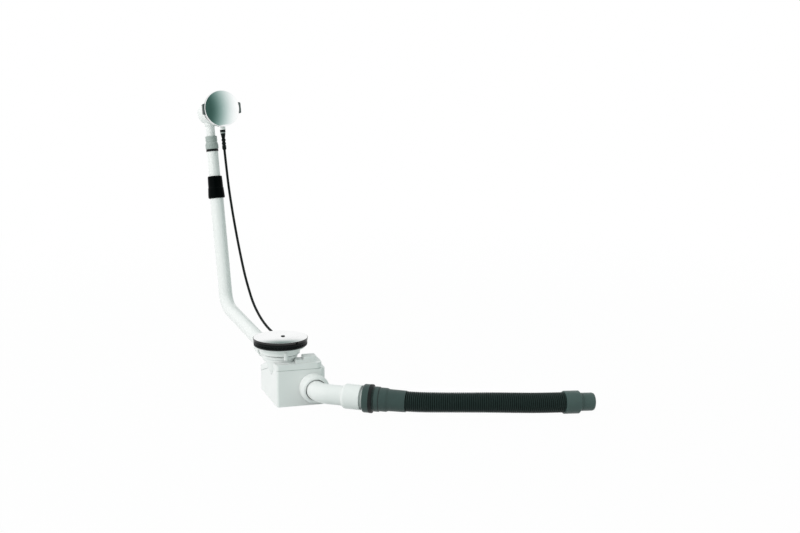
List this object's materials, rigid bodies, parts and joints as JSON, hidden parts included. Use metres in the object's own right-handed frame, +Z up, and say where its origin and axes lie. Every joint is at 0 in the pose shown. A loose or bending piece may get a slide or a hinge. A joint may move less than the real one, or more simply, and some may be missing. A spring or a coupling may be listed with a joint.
{
  "type": "bath waste and overflow",
  "caption": "Bath waste and overflow set: a turning knob on the overflow lifts the plug by cable; pipe, box trap, elbow and corrugated drain hose.",
  "frame": {"origin": "on the waste axis, on the plane where the gasket grips the bath floor", "axes": "+Z up along the waste axis, overflow behind at +Y with its knob facing -Y, drain hose leaving to +X and -Y"},
  "size_m": [0.5887, 0.7966, 0.6106],
  "materials": {
    "white_plastic": "moulded satin white",
    "dark_grey_plastic": "moulded satin dark grey",
    "black_plastic": "satin black",
    "black_rubber": "matt black",
    "hose_plastic": "corrugated near-black",
    "chrome": "bright plated",
    "steel": "bright steel",
    "light_grey_plastic": "moulded light grey"
  },
  "bodies": {
    "fixed": {"branch_nut": "white_plastic", "branch_seal": "black_rubber", "cable_gland": "black_plastic", "cable_sheath": "black_plastic", "cleaning_cap": "white_plastic", "coupling_nut": "light_grey_plastic", "drain_hose": "hose_plastic", "flange_screws": "steel", "gland_ring": "light_grey_plastic", "hose_end_spigot": "dark_grey_plastic", "hose_socket": "dark_grey_plastic", "inlet_neck": "white_plastic", "lever_pin": "steel", "lid_seal": "light_grey_plastic", "lower_overflow_pipe": "white_plastic", "nut_seal": "black_rubber", "outlet_elbow": "white_plastic", "outlet_nut": "white_plastic", "outlet_seal": "black_rubber", "overflow_body": "white_plastic", "overflow_flange": "black_plastic", "overflow_gasket": "black_rubber", "overflow_screws": "steel", "pipe_sleeve": "black_rubber", "pull_wire": "steel", "socket_band": "black_rubber", "socket_seal": "black_rubber", "trap_body": "white_plastic", "trap_lid": "white_plastic", "upper_overflow_pipe": "white_plastic", "waste_flange": "steel", "waste_gasket": "black_rubber", "waste_gland": "black_plastic"},
    "control": {"control_knob": "chrome", "knob_spindle": "white_plastic", "cable_drum": "white_plastic"},
    "plug": {"plug_cover": "chrome", "cover_screw": "black_plastic", "plug_body": "white_plastic", "plug_seal": "black_rubber"},
    "lever": {"lift_lever": "white_plastic"}
  },
  "joints": [
    {"name": "knob_turn", "type": "hinge", "parent": "fixed", "child": "control", "pos_m": [0, 0.4101, 0.4295], "axis": [0, -0.9781, 0.2079], "range_deg": [0, 60]},
    {"name": "lever_swing", "type": "hinge", "parent": "fixed", "child": "lever", "pos_m": [0.01047, 0.0134, -0.055], "axis": [-0.788, 0.6157, 0], "range_deg": [0, 36]},
    {"name": "plug_lift", "type": "slide", "parent": "fixed", "child": "plug", "axis": [0, 0, 1], "range_m": [0, 0.01052]}
  ],
  "couplings": [
    {"joint": "lever_swing", "follows": "knob_turn", "ratio": 0.6},
    {"joint": "plug_lift", "follows": "knob_turn", "m_per_rad": 0.010033}
  ]
}
